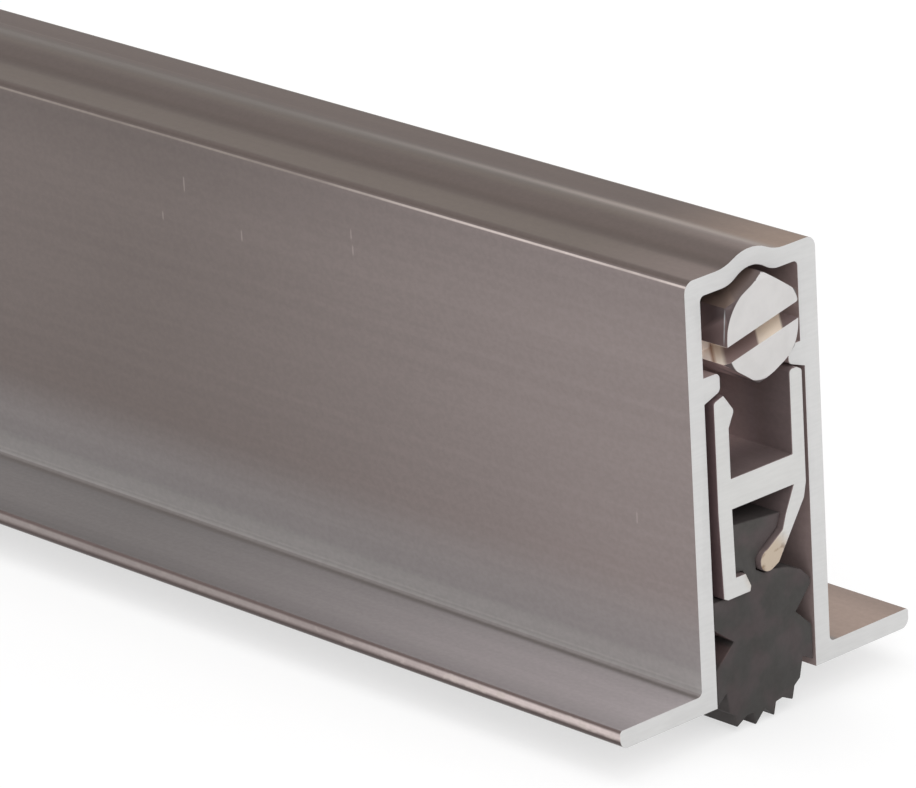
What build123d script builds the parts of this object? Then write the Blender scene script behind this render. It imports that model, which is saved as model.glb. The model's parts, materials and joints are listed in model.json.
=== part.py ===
from build123d import *
import math
import os

os.makedirs("parts", exist_ok=True)

# Driving dimensions of the unit, in millimetres
unit_length = 914.4
body_width = 12.7
flange_span = 28.6
flange_thickness = 1.4
wall_thickness = 1.45
shoulder_height = 30.1

# Frame: X along the unit with the plunger end at +X, Z up into the door,
# and Z = 0 on the upper faces of the flanges, where the door's bottom edge sits
end_x = unit_length / 2
half_body = body_width / 2
half_flange = flange_span / 2
inner_wall_y = half_body - wall_thickness
flange_bottom = -flange_thickness
flange_root_radius = 0.4
flange_lower_radius = 0.7
flange_upper_radius = 0.25
channel_corner_radius = 0.4

# Roof of the housing, with a hump along its middle
roof_thickness = 1.38
roof_corner_radius = 0.85
shoulder_width = 3.05
hump_rise = 0.8
hump_inner_step = 0.5
hump_inner_rise = 0.88
hump_half_width = half_body - shoulder_width
hump_inner_half_width = hump_half_width - hump_inner_step
roof_inner_z = shoulder_height - roof_thickness

# Upper chamber, whose +Y wall is a little thicker than the other walls
chamber_wall_extra = 0.35
chamber_right_y = inner_wall_y - chamber_wall_extra

# Ribs on the walls, which carry the blocks of the mechanism and stop the drop bar
chamber_height = 5.87
rib_reach = 1.55
rib_nose_height = 1.35
rib_root_height = 1.9
rib_nose_radius = 0.45
rib_top_z = roof_inner_z - chamber_height
rib_nose_y = inner_wall_y - rib_reach
rib_nose_bottom_z = rib_top_z - rib_nose_height
rib_root_z = rib_top_z - rib_root_height

# Screw holes in the flanges, countersunk from below
screw_row_y = (half_body + half_flange) / 2
screw_stations = (-360.0, -120.0, 120.0, 360.0)
screw_hole_radius = 1.55
screw_sink_radius = 2.75
screw_sink_angle = 90

# Rod, socket and adjusting screw share one axis in the upper chamber
rod_drop = 3.42
rod_axis_z = roof_inner_z - rod_drop
rod_radius = 2.0
running_gap = 0.05
socket_radius = 2.7
thread_showing = 2.8
socket_length = 28.0
socket_bore_depth = 19.0
rod_seat_depth = 8.0
screw_radius = 1.75
screw_length = 20.0
head_across_flats = 6.9
head_length = 5.0
head_proud = 1.0
head_turn = 25.0
head_face_radius = 3.5
head_chamfer = 0.3
slot_width = 1.2
slot_depth = 3.0
slot_offset = 0.3
slot_turn = 11.8
bush_length = 14.0
bush_setback = 15.0
bush_corner_radius = 0.45
bush_crest_half = 0.4 * hump_inner_half_width
bush_crest_rise = 0.45 * hump_inner_rise

# Bow springs: each crown sits on the drop bar between an anchor block and a slider block
spring_crowns = (255.0, -255.0)
spring_half_span = 55.0
strip_thickness = 0.4
strip_half_width = 2.2
strip_end_half = 5.0
tongue_reach = 0.7
crown_flat_half = 7.0
saddle_thickness = 0.6
saddle_half_length = 7.0
saddle_half_width = 2.6
saddle_rivet_radius = 1.25
saddle_head_radius = 2.1
saddle_head_height = 0.7
saddle_tail_radius = 1.9
saddle_tail_height = 0.6
rivet_chamfer = 0.4
end_rivet_radius = 0.95
end_rivet_depth = 0.8
rivet_head_radius = 1.8
rivet_head_height = 0.4
rivet_gap = 0.05

# Blocks that run in or are pinned into the upper chamber
block_half_length = 8.0
block_side_gap = 0.2
slider_side_gap = 0.25
slider_lift = 0.1
tongue_side_gap = 0.15
block_corner_radius = 0.3
anchor_pin_offset = 5.0
anchor_pin_radius = 0.4
anchor_pin_depth = 4.0
cross_pin_radius = 0.8
rod_tail = 10.0
end_chamfer = 0.4

# Drop bar, an H-shaped extrusion with its lower right leg crimped inwards
bar_side_gap = 0.59
bar_shift = 0.3
left_leg = 1.36
right_leg = 1.23
bulge_depth = 0.5
bar_tip_radius = 0.3
web_top_z = shoulder_height / 2
web_thickness = 2.25
foot_bottom_z = 0.21 * shoulder_height
foot_height = 1.45
foot_reach = 2.9
foot_draft = 0.2
bulb_y = 0.3
bulb_height = 1.75
bulb_radius = 0.8

# Seal insert
seal_side_gap = 0.15
seal_recess = 0.1
seal_skew = 0.055
sole_drop = 2.5
tooth_pitch = 1.85
tooth_depth = 0.95
sole_crown = 0.073
notch_z = 0.48 * foot_bottom_z
notch_depth = 1.7
notch_half_height = 1.5
seal_shoulder = 1.0
seal_grip_gap = 0.08

# Places worked out from the dimensions above
tongue_bottom_z = rib_top_z - tongue_reach
strip_end_bottom = tongue_bottom_z - strip_thickness
end_rivet_top = tongue_bottom_z + end_rivet_depth
block_half_width = chamber_right_y - block_side_gap
slider_half_width = chamber_right_y - slider_side_gap
tongue_half_width = rib_nose_y - tongue_side_gap
anchor_pin_y = (hump_half_width + chamber_right_y - channel_corner_radius) / 2
anchor_pin_bottom_z = roof_inner_z - anchor_pin_depth
crown_bottom_z = web_top_z + saddle_thickness
crown_top_z = crown_bottom_z + strip_thickness
bar_half_width = inner_wall_y - bar_side_gap
left_inner_y = left_leg - bar_half_width
right_inner_y = bar_half_width - right_leg
bar_top_z = rib_root_z + 0.6 * bulge_depth
bulge_z = bar_top_z - 3 * bulge_depth
web_bottom_z = web_top_z - web_thickness
foot_top_z = foot_bottom_z + foot_height
foot_tip_y = foot_reach - bar_half_width
bulb_z = foot_bottom_z + bulb_height
seal_half_width = inner_wall_y - seal_side_gap
sole_z = flange_bottom - sole_drop
head_face_x = end_x + head_proud
head_back_x = head_face_x - head_length
head_corner_radius = head_across_flats / math.sqrt(3)
socket_front_x = head_back_x - thread_showing
socket_back_x = socket_front_x - socket_length
bush_front_x = end_x - bush_setback
bush_back_x = bush_front_x - bush_length
rod_front_x = socket_back_x + rod_seat_depth
rod_back_x = min(spring_crowns) + spring_half_span - rod_tail


def save(builder, name):
    """Label a finished piece and write it to its own STEP file."""
    builder.part.label = name
    export_step(builder.part, f"parts/{name}.step")


def corners(sketch, y, z):
    """Corners of a section at a distance y either side of the middle and at height z."""
    return sketch.vertices().filter_by(lambda v: abs(abs(v.X) - y) < 0.01 and abs(v.Y - z) < 0.01)


def hump(flat_z, half_width, rise):
    """Draw a hump from -half_width to half_width as tangent arcs that ease into the flats."""
    quarter = half_width / 2
    radius = (quarter**2 + (rise / 2) ** 2) / rise
    turn = math.degrees(math.asin(quarter / radius))
    rising = JernArc((-half_width, flat_z), (1, 0), radius, turn)
    over = JernArc(rising @ 1, rising % 1, radius, -2 * turn)
    JernArc(over @ 1, over % 1, radius, turn)


def on_rod_axis(x):
    """A plane across the rod at x, facing +X, with its origin on the rod's axis."""
    return Plane.YZ.offset(x).shift_origin((x, 0, rod_axis_z))


def cylinder_along_x(radius, start_x, stop_x, mode=Mode.ADD):
    """Add or cut a round bar on the rod's axis from start_x to stop_x."""
    with BuildSketch(on_rod_axis(start_x)) as disc:
        Circle(radius)
    extrude(disc.sketch, amount=stop_x - start_x, mode=mode)


def cylinder_along_z(radius, x, y, bottom, top, mode=Mode.ADD):
    """Add or cut an upright round bar."""
    with BuildSketch(Plane.XY.offset(bottom)) as disc:
        with Locations((x, y)):
            Circle(radius)
    extrude(disc.sketch, amount=top - bottom, mode=mode)


def block_with_tongue(middle_x, half_width, bottom, top):
    """A block for the upper chamber with a tongue that reaches down between the ribs."""
    with BuildSketch(Plane.YZ.offset(middle_x)) as block_section:
        with BuildLine():
            Polyline(
                (-half_width, bottom),
                (-tongue_half_width, bottom),
                (-tongue_half_width, tongue_bottom_z),
                (tongue_half_width, tongue_bottom_z),
                (tongue_half_width, bottom),
                (half_width, bottom),
                (half_width, top),
                (-half_width, top),
                close=True,
            )
        make_face()
        fillet(corners(block_section, half_width, top), block_corner_radius)
    extrude(block_section.sketch, amount=block_half_length, both=True)


def cross_pin_shape(x, length, mode=Mode.ADD):
    """Add or cut a pin that crosses the rod from side to side."""
    with Locations(Location((x, 0, rod_axis_z), (90, 0, 0))):
        Cylinder(cross_pin_radius, length, mode=mode)


def anchor_pin_places(anchor_x):
    """The two places, one on each shoulder, where an anchor block is pinned to the roof."""
    return [(anchor_x + side * anchor_pin_offset, side * anchor_pin_y) for side in (-1, 1)]


# Housing: the outer section, then the channel, the screw holes and the pin holes
with BuildPart() as housing:
    with BuildSketch(Plane.YZ) as outer_section:
        with BuildLine():
            hump(shoulder_height, hump_half_width, hump_rise)
            Polyline(
                (hump_half_width, shoulder_height),
                (half_body, shoulder_height),
                (half_body, 0),
                (half_flange, 0),
                (half_flange, flange_bottom),
                (-half_flange, flange_bottom),
                (-half_flange, 0),
                (-half_body, 0),
                (-half_body, shoulder_height),
                (-hump_half_width, shoulder_height),
            )
        make_face()
        fillet(corners(outer_section, half_body, shoulder_height), roof_corner_radius)
        fillet(corners(outer_section, half_body, 0), flange_root_radius)
        fillet(corners(outer_section, half_flange, flange_bottom), flange_lower_radius)
        fillet(corners(outer_section, half_flange, 0), flange_upper_radius)
    extrude(amount=end_x, both=True)
    with BuildSketch(Plane.YZ) as channel_section:
        with BuildLine():
            hump(roof_inner_z, hump_inner_half_width, hump_inner_rise)
            for side, chamber_wall_y in ((-1, inner_wall_y), (1, chamber_right_y)):
                Polyline(
                    (side * hump_inner_half_width, roof_inner_z),
                    (side * chamber_wall_y, roof_inner_z),
                    (side * chamber_wall_y, rib_top_z),
                    (side * rib_nose_y, rib_top_z),
                    (side * rib_nose_y, rib_nose_bottom_z),
                    (side * inner_wall_y, rib_root_z),
                    (side * inner_wall_y, flange_bottom),
                )
            Line((-inner_wall_y, flange_bottom), (inner_wall_y, flange_bottom))
        make_face()
        fillet(corners(channel_section, inner_wall_y, roof_inner_z), channel_corner_radius)
        fillet(corners(channel_section, chamber_right_y, roof_inner_z), channel_corner_radius)
        fillet(corners(channel_section, rib_nose_y, rib_top_z), rib_nose_radius)
        fillet(corners(channel_section, rib_nose_y, rib_nose_bottom_z), rib_nose_radius)
    extrude(amount=end_x, both=True, mode=Mode.SUBTRACT)
    with Locations(Plane(origin=(0, 0, flange_bottom), z_dir=(0, 0, -1))):
        with Locations([(x, side * screw_row_y) for x in screw_stations for side in (-1, 1)]):
            CounterSinkHole(screw_hole_radius, screw_sink_radius, flange_thickness, screw_sink_angle)
    for crown_x in spring_crowns:
        for pin_x, pin_y in anchor_pin_places(crown_x - spring_half_span):
            pin_hole = (anchor_pin_radius, pin_x, pin_y, anchor_pin_bottom_z, shoulder_height)
            cylinder_along_z(*pin_hole, Mode.SUBTRACT)
save(housing, "housing")

# Guide bush, pressed in behind the screw head, resting on the ribs
with BuildPart() as guide_bush:
    with BuildSketch(Plane.YZ.offset(bush_back_x)) as bush_section:
        with BuildLine():
            Polyline(
                (-inner_wall_y, rib_top_z),
                (-tongue_half_width, rib_top_z),
                (-tongue_half_width, tongue_bottom_z),
                (tongue_half_width, tongue_bottom_z),
                (tongue_half_width, rib_top_z),
                (chamber_right_y, rib_top_z),
                (chamber_right_y, roof_inner_z),
                (bush_crest_half, roof_inner_z),
                (bush_crest_half, roof_inner_z + bush_crest_rise),
                (-bush_crest_half, roof_inner_z + bush_crest_rise),
                (-bush_crest_half, roof_inner_z),
                (-inner_wall_y, roof_inner_z),
                close=True,
            )
        make_face()
        fillet(corners(bush_section, inner_wall_y, roof_inner_z), bush_corner_radius)
        fillet(corners(bush_section, chamber_right_y, roof_inner_z), bush_corner_radius)
    extrude(amount=bush_length)
    cylinder_along_x(socket_radius + running_gap, bush_back_x, bush_front_x, Mode.SUBTRACT)
save(guide_bush, "guide_bush")

# Actuating rod, with a cross hole for each slider block
with BuildPart() as actuating_rod:
    cylinder_along_x(rod_radius, rod_back_x, rod_front_x)
    chamfer(actuating_rod.faces().sort_by(Axis.X)[0].edges(), end_chamfer)
    for crown_x in spring_crowns:
        cross_pin_shape(crown_x + spring_half_span, 2 * slider_half_width, Mode.SUBTRACT)
save(actuating_rod, "actuating_rod")

# Threaded socket on the rod's end, which the adjusting screw turns in
with BuildPart() as threaded_socket:
    cylinder_along_x(socket_radius, socket_back_x, socket_front_x)
    chamfer(threaded_socket.edges().filter_by(GeomType.CIRCLE), end_chamfer)
    bore_bottom_x = socket_front_x - socket_bore_depth
    cylinder_along_x(screw_radius + running_gap, bore_bottom_x, socket_front_x, Mode.SUBTRACT)
    cylinder_along_x(rod_radius, socket_back_x, rod_front_x, Mode.SUBTRACT)
save(threaded_socket, "threaded_socket")

# Adjusting screw: a slotted hex head whose face meets the jamb
with BuildPart() as adjusting_screw:
    with BuildSketch(on_rod_axis(head_back_x)):
        RegularPolygon(head_across_flats / 2, 6, major_radius=False, rotation=head_turn)
    extrude(amount=head_length)
    cone_slope = (head_corner_radius - head_face_radius) / head_chamfer
    with BuildSketch(Plane.XZ) as turned_outline:
        with BuildLine():
            Polyline(
                (head_back_x, rod_axis_z),
                (head_face_x, rod_axis_z),
                (head_face_x, rod_axis_z + head_face_radius),
                (head_face_x - head_length, rod_axis_z + head_face_radius + cone_slope * head_length),
                close=True,
            )
        make_face()
    revolve(axis=Axis((0, 0, rod_axis_z), (1, 0, 0)), mode=Mode.INTERSECT)
    with BuildSketch(on_rod_axis(head_face_x - slot_depth)):
        with Locations(Location((0, 0, 0), (0, 0, slot_turn))):
            with Locations((0, -slot_offset)):
                Rectangle(2 * head_across_flats, slot_width)
    extrude(amount=slot_depth, mode=Mode.SUBTRACT)
    cylinder_along_x(screw_radius, head_back_x - screw_length, head_back_x)
    chamfer(adjusting_screw.faces().sort_by(Axis.X)[0].edges(), end_chamfer)
save(adjusting_screw, "adjusting_screw")


def strip_edge(crown_x, side):
    """Draw one long edge of a bow spring, half a thickness above or below its middle line."""
    half = side * strip_thickness / 2
    end_z = strip_end_bottom + strip_thickness / 2
    crown_z = crown_bottom_z + strip_thickness / 2
    run = (spring_half_span - strip_end_half - crown_flat_half) / 2
    drop = (end_z - crown_z) / 2
    radius = (run**2 + drop**2) / (2 * drop)
    turn = math.degrees(math.asin(run / radius))
    left_end = (crown_x - spring_half_span - strip_end_half, end_z + half)
    right_end = (crown_x + spring_half_span + strip_end_half, end_z + half)
    start = Line(left_end, (crown_x - spring_half_span + strip_end_half, end_z + half))
    falling = JernArc(start @ 1, start % 1, radius + half, -turn)
    settling = JernArc(falling @ 1, falling % 1, radius - half, turn)
    crown = Line(settling @ 1, (crown_x + crown_flat_half, crown_z + half))
    rising = JernArc(crown @ 1, crown % 1, radius - half, turn)
    levelling = JernArc(rising @ 1, rising % 1, radius + half, -turn)
    Line(levelling @ 1, right_end)
    return left_end, right_end


for number, crown_x in enumerate(spring_crowns, start=1):
    anchor_x = crown_x - spring_half_span
    slider_x = crown_x + spring_half_span

    # Flat bow spring, with a hole at each end and at its crown
    with BuildPart() as flat_spring:
        with BuildSketch(Plane.XZ):
            with BuildLine():
                upper_left, upper_right = strip_edge(crown_x, 1)
                lower_left, lower_right = strip_edge(crown_x, -1)
                Line(upper_left, lower_left)
                Line(upper_right, lower_right)
            make_face()
        extrude(amount=strip_half_width, both=True)
        for hole_x in (anchor_x, slider_x):
            end_hole = (end_rivet_radius + rivet_gap, hole_x, 0, strip_end_bottom, tongue_bottom_z)
            cylinder_along_z(*end_hole, Mode.SUBTRACT)
        crown_hole = (saddle_rivet_radius + rivet_gap, crown_x, 0, crown_bottom_z, crown_top_z)
        cylinder_along_z(*crown_hole, Mode.SUBTRACT)
    save(flat_spring, f"flat_spring_{number}")

    # Saddle plate under the crown
    with BuildPart() as spring_saddle:
        with BuildSketch(Plane.XY.offset(web_top_z)):
            with Locations((crown_x, 0)):
                Rectangle(2 * saddle_half_length, 2 * saddle_half_width)
                Circle(saddle_rivet_radius, mode=Mode.SUBTRACT)
        extrude(amount=saddle_thickness)
    save(spring_saddle, f"spring_saddle_{number}")

    # Rivet through the crown, the saddle and the web
    with BuildPart() as saddle_rivet:
        cylinder_along_z(saddle_rivet_radius, crown_x, 0, web_bottom_z, crown_top_z)
        cylinder_along_z(saddle_head_radius, crown_x, 0, crown_top_z, crown_top_z + saddle_head_height)
        cylinder_along_z(saddle_tail_radius, crown_x, 0, web_bottom_z - saddle_tail_height, web_bottom_z)
        chamfer(saddle_rivet.faces().sort_by(Axis.Z)[-1].edges(), rivet_chamfer)
    save(saddle_rivet, f"saddle_rivet_{number}")

    # Anchor block, fixed in the housing, with the rod running through it
    with BuildPart() as anchor_block:
        block_with_tongue(anchor_x, block_half_width, rib_top_z, roof_inner_z)
        block_ends = (anchor_x - block_half_length, anchor_x + block_half_length)
        cylinder_along_x(rod_radius + running_gap, *block_ends, Mode.SUBTRACT)
        for pin_x, pin_y in anchor_pin_places(anchor_x):
            pin_hole = (anchor_pin_radius, pin_x, pin_y, anchor_pin_bottom_z, roof_inner_z)
            cylinder_along_z(*pin_hole, Mode.SUBTRACT)
        cylinder_along_z(end_rivet_radius, anchor_x, 0, tongue_bottom_z, end_rivet_top, Mode.SUBTRACT)
    save(anchor_block, f"anchor_block_{number}")

    # Pins that hold the anchor block to the roof, flush with its shoulders
    with BuildPart() as anchor_pins:
        for pin_x, pin_y in anchor_pin_places(anchor_x):
            cylinder_along_z(anchor_pin_radius, pin_x, pin_y, anchor_pin_bottom_z, shoulder_height)
    save(anchor_pins, f"anchor_pins_{number}")

    # Slider block, carried by the rod just clear of the ribs
    with BuildPart() as slider_block:
        block_with_tongue(slider_x, slider_half_width, rib_top_z + slider_lift, roof_inner_z - slider_lift)
        block_ends = (slider_x - block_half_length, slider_x + block_half_length)
        cylinder_along_x(rod_radius, *block_ends, Mode.SUBTRACT)
        cross_pin_shape(slider_x, 2 * slider_half_width, Mode.SUBTRACT)
        cylinder_along_z(end_rivet_radius, slider_x, 0, tongue_bottom_z, end_rivet_top, Mode.SUBTRACT)
    save(slider_block, f"slider_block_{number}")

    # Pin across the slider block and the rod
    with BuildPart() as cross_pin:
        cross_pin_shape(slider_x, 2 * (slider_half_width - slider_lift))
    save(cross_pin, f"cross_pin_{number}")

    # Rivets that hold the spring's two ends up against the blocks' tongues
    for end_name, rivet_x in (("fixed", anchor_x), ("moving", slider_x)):
        with BuildPart() as end_rivet:
            cylinder_along_z(end_rivet_radius, rivet_x, 0, strip_end_bottom, end_rivet_top)
            head_bottom = strip_end_bottom - rivet_head_height
            cylinder_along_z(rivet_head_radius, rivet_x, 0, head_bottom, strip_end_bottom)
        save(end_rivet, f"{end_name}_end_rivet_{number}")

# Drop bar: upper channel, web, a hooked left leg and a crimped right leg
with BuildPart() as drop_bar:
    with BuildSketch(Plane.YZ.offset(bar_shift)) as bar_section:
        with BuildLine():
            left_side = Polyline(
                (left_inner_y, web_top_z),
                (left_inner_y, bulge_z - 2 * bulge_depth),
                (left_inner_y + bulge_depth, bulge_z),
                (left_inner_y + bulge_depth, bulge_z + 0.5 * bulge_depth),
                (left_inner_y - 0.3 * left_leg, bar_top_z),
                (-bar_half_width, rib_root_z),
                (-bar_half_width, web_bottom_z),
                (-bar_half_width + foot_draft, foot_bottom_z + foot_draft),
                (-bar_half_width + 3 * foot_draft, foot_bottom_z),
                (foot_tip_y - 0.5 * foot_draft, foot_bottom_z),
                (foot_tip_y, foot_bottom_z + 2 * foot_draft),
                (foot_tip_y - 2.5 * foot_draft, foot_top_z),
                (left_inner_y + 0.5 * foot_draft, foot_top_z),
                (left_inner_y, web_bottom_z),
            )
            inner_crimp = Polyline(
                left_side @ 1,
                (right_inner_y, web_bottom_z),
                (right_inner_y - 0.7 * right_leg, web_bottom_z - 1.5 * right_leg),
                (right_inner_y - right_leg, web_bottom_z - 2.4 * right_leg),
                (bulb_y, bulb_z + bulb_radius),
            )
            bulb_end = (bulb_y + 0.6 * bulb_radius, bulb_z - 0.95 * bulb_radius)
            ThreePointArc(inner_crimp @ 1, (bulb_y - 0.9 * bulb_radius, bulb_z), bulb_end)
            Polyline(
                bulb_end,
                (bulb_y + 1.35 * bulb_radius, bulb_z - 0.6 * bulb_radius),
                (bar_half_width - 0.2 * right_leg, web_bottom_z - right_leg),
                (bar_half_width, web_bottom_z - 0.1 * right_leg),
                (bar_half_width, rib_root_z),
                (bar_half_width - 0.4 * right_leg, bar_top_z),
                (right_inner_y, bar_top_z),
                (right_inner_y, web_top_z),
                left_side @ 0,
            )
        make_face()
        fillet(corners(bar_section, -foot_tip_y, foot_bottom_z + 2 * foot_draft), foot_draft)
        fillet(corners(bar_section, bar_half_width, rib_root_z), bar_tip_radius)
        fillet(corners(bar_section, right_inner_y, bar_top_z), bar_tip_radius)
    extrude(amount=end_x, both=True)
    for crown_x in spring_crowns:
        cylinder_along_z(saddle_rivet_radius, crown_x, 0, web_bottom_z, web_top_z, Mode.SUBTRACT)
save(drop_bar, "drop_bar")


def skewed(y, z):
    """Lean a point of the soft seal the way the crimp pulls it, keeping its sides at the walls."""
    lean = 0 if abs(y) == seal_half_width else seal_skew * z
    return y + lean, z + seal_skew * y


# Half of the seal below its head, from the middle of the sole up to the shoulder
sole_half = []
for tooth in (0.5, 1.5):
    tip_y = tooth * tooth_pitch
    tip_z = sole_z + sole_crown * tip_y**2
    sole_half.append((tip_y, tip_z))
    sole_half.append((tip_y + 0.1 * tooth_pitch, tip_z + tooth_depth))
sole_half.insert(2, (0.95 * tooth_pitch, sole_z + 1.15 * tooth_depth))
sole_half += [
    (1.9 * tooth_pitch, sole_z + 2 * tooth_depth),
    (2.05 * tooth_pitch, flange_bottom + tooth_depth),
    (seal_half_width, flange_bottom + 0.3 * tooth_depth),
    (seal_half_width, notch_z - notch_half_height),
    (seal_half_width - notch_depth, notch_z),
    (seal_half_width, notch_z + notch_half_height),
]

# Seal insert: a head gripped by the bar, notched shoulders and a toothed sole
with BuildPart() as seal_insert:
    with BuildSketch(Plane.YZ.offset(-seal_recess)) as seal_section:
        with BuildLine():
            Polyline(
                skewed(0, sole_z + tooth_depth),
                *[skewed(y, z) for y, z in sole_half],
                (seal_half_width, foot_bottom_z - seal_shoulder),
                (seal_half_width - 0.85 * seal_shoulder, foot_bottom_z - 0.15 * seal_shoulder),
                (bulb_y + 2.8 * bulb_radius, foot_bottom_z + 0.45 * seal_shoulder),
                (bulb_y + 0.9 * bulb_radius, bulb_z - 1.2 * bulb_radius),
                (bulb_y, bulb_z - 1.3 * bulb_radius),
                (bulb_y - bulb_radius, bulb_z - 0.7 * bulb_radius),
                (bulb_y - bulb_radius, bulb_z + 0.4 * bulb_radius),
                (bulb_y, bulb_z + 1.2 * bulb_radius),
                (right_inner_y - 1.15 * right_leg, web_bottom_z - 2.3 * right_leg),
                (right_inner_y - 0.85 * right_leg, web_bottom_z - 1.45 * right_leg),
                (left_inner_y + seal_grip_gap, web_bottom_z - 1.1 * right_leg),
                (left_inner_y + seal_grip_gap, foot_top_z + seal_grip_gap),
                (foot_tip_y - 2 * foot_draft, foot_top_z + seal_grip_gap),
                (foot_tip_y + seal_grip_gap, foot_bottom_z + 2 * foot_draft),
                (foot_tip_y + seal_grip_gap, foot_bottom_z),
                (-seal_half_width, foot_bottom_z),
                *[skewed(-y, z) for y, z in reversed(sole_half)],
                close=True,
            )
        make_face()
    extrude(amount=end_x, both=True)
save(seal_insert, "seal_insert")
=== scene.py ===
import json
import math

import bmesh
import bpy
from mathutils import Matrix, Vector

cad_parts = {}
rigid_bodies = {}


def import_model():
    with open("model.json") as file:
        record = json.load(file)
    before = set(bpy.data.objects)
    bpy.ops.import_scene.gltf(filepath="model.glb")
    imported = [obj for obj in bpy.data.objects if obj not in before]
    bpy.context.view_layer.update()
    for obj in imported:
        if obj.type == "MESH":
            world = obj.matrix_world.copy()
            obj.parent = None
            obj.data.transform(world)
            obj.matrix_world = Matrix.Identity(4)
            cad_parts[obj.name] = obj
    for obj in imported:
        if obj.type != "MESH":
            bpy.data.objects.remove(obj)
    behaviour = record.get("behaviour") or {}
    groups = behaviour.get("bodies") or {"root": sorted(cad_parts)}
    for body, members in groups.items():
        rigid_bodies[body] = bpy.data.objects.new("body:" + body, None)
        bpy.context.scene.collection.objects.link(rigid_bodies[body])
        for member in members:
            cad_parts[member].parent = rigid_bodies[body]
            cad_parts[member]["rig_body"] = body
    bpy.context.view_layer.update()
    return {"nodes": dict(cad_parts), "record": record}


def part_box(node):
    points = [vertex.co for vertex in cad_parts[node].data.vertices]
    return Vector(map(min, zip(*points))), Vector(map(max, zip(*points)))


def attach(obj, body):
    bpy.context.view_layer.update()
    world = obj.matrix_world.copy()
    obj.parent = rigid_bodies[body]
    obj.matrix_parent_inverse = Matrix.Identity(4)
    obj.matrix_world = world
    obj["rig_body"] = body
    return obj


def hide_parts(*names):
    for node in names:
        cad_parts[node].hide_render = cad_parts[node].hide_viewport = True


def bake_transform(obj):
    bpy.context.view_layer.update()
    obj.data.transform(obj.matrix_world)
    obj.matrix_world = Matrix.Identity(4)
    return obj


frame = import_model()

MM = 0.001

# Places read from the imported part, in metres. The cut end that the camera sees is at +X.
end_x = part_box("housing")[1].x
screw_end_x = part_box("adjusting_screw")[1].x
floor_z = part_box("seal_insert")[0].z

# Rounding of each piece's hard edges, and the angles above which an edge is rounded or kept crisp
BROKEN_EDGES = {
    "housing": 0.08 * MM,
    "drop_bar": 0.08 * MM,
    "adjusting_screw": 0.06 * MM,
    "seal_insert": 0.1 * MM,
}
FLAT_ANGLE, HARD_ANGLE, CRISP_ANGLE = math.radians(0.5), math.radians(30), math.radians(25)

# Flat springs: how far the flat ends and the flat crown reach, and how finely the strips are divided
SPRING_GRIP, SPRING_CROWN, SPRING_STEP = 10 * MM, 7 * MM, 2 * MM

# Points closer than these are joined: in a CAD mesh, after rounding, and where a spring is divided
SAME_POINT, ROUNDED_POINT, DIVIDED_POINT = 0.0005 * MM, 0.004 * MM, 0.002 * MM

# Camera: fitted to the cut end and the long edges of the photograph
CAMERA_PLACE = Vector((0.7821, -0.32443, 0.19178))
CAMERA_AIM = Vector((0.4572, -0.02743, 0.02839))
CAMERA_ROLL = math.radians(-3.232)
LENS, SENSOR_WIDTH = 282.187, 36
NEAREST_SEEN, FARTHEST_SEEN = 0.01, 20

# The floor as the camera sees it: this much glow, and this much that a shadow takes away
FLOOR_GLOW, FLOOR_SHADE = 0.62, 0.42
FLOOR_SIZE, FLOOR_COLOUR, FLOOR_ROUGHNESS, FLOOR_SPREAD = 12, (0.93, 0.93, 0.93), 0.9, 0.004

# The world's strength as a light, and where it is seen
WORLD_LIGHT, WORLD_SEEN = 0.62, 1.0

# Colours as seen in the photograph, in sRGB, far from the cut end and near it
# Painted light on the sides: paler near the cut end and at the foot, with a painted highlight line along the
# foot
SIDE_FAR, SIDE_NEAR = (0.473, 0.434, 0.421), (0.573, 0.528, 0.52)
SIDE_FOOT, FOOT_PALE, FOOT_LINE = (0.64, 0.62, 0.62), (0.71, 0.695, 0.69), (0.78, 0.765, 0.755)
# The roof's colours carry painted light and shade: paler near the cut end and beyond the crest, darker on the
# near slope and in the crease, and a painted tan band on the far slope
ROOF_FAR, ROOF_NEAR, ROOF_SHADE = (0.39, 0.345, 0.315), (0.46, 0.405, 0.385), (0.36, 0.316, 0.30)
ROOF_RIGHT, ROOF_RIGHT_FAR, ROOF_CREASE = (0.55, 0.47, 0.415), (0.355, 0.30, 0.275), (0.33, 0.285, 0.265)
ROOF_TAN, ROOF_TAN_FAR = (0.547, 0.492, 0.46), (0.305, 0.25, 0.205)
# Painted light on the flanges: paler near the cut end, and the far flange tan as painted reflected light
FLANGE_FAR, FLANGE_NEAR, FLANGE_RIGHT = (0.583, 0.565, 0.562), (0.725, 0.695, 0.70), (0.61, 0.53, 0.485)
# Painted shade in the corner between each wall and its flange
ROOT_DARK = (0.50, 0.475, 0.465)
# Painted highlight on the roof's long edges, far from the cut end and near it; the near one also colours the
# side's scratches and the tips' speckles
EDGE_FAR, EDGE_NEAR = (0.57, 0.53, 0.505), (0.82, 0.77, 0.75)
# The flanges' outer edges: darker toward the bottom, with a painted sheen that is dimmer away from the cut
# end
TIP_BEIGE, TIP_BROWN = (0.41, 0.355, 0.345), (0.33, 0.28, 0.27)
TIP_SHEEN, TIP_SHEEN_FAR = (0.90, 0.84, 0.83), (0.61, 0.57, 0.56)
CUT_GREY, BAR_CUT_GREY = (0.838, 0.836, 0.833), (0.83, 0.827, 0.82)
# A paler brown for the housing's inside, painted light against its shade
CAVITY_BROWN = (0.66, 0.585, 0.575)
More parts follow.
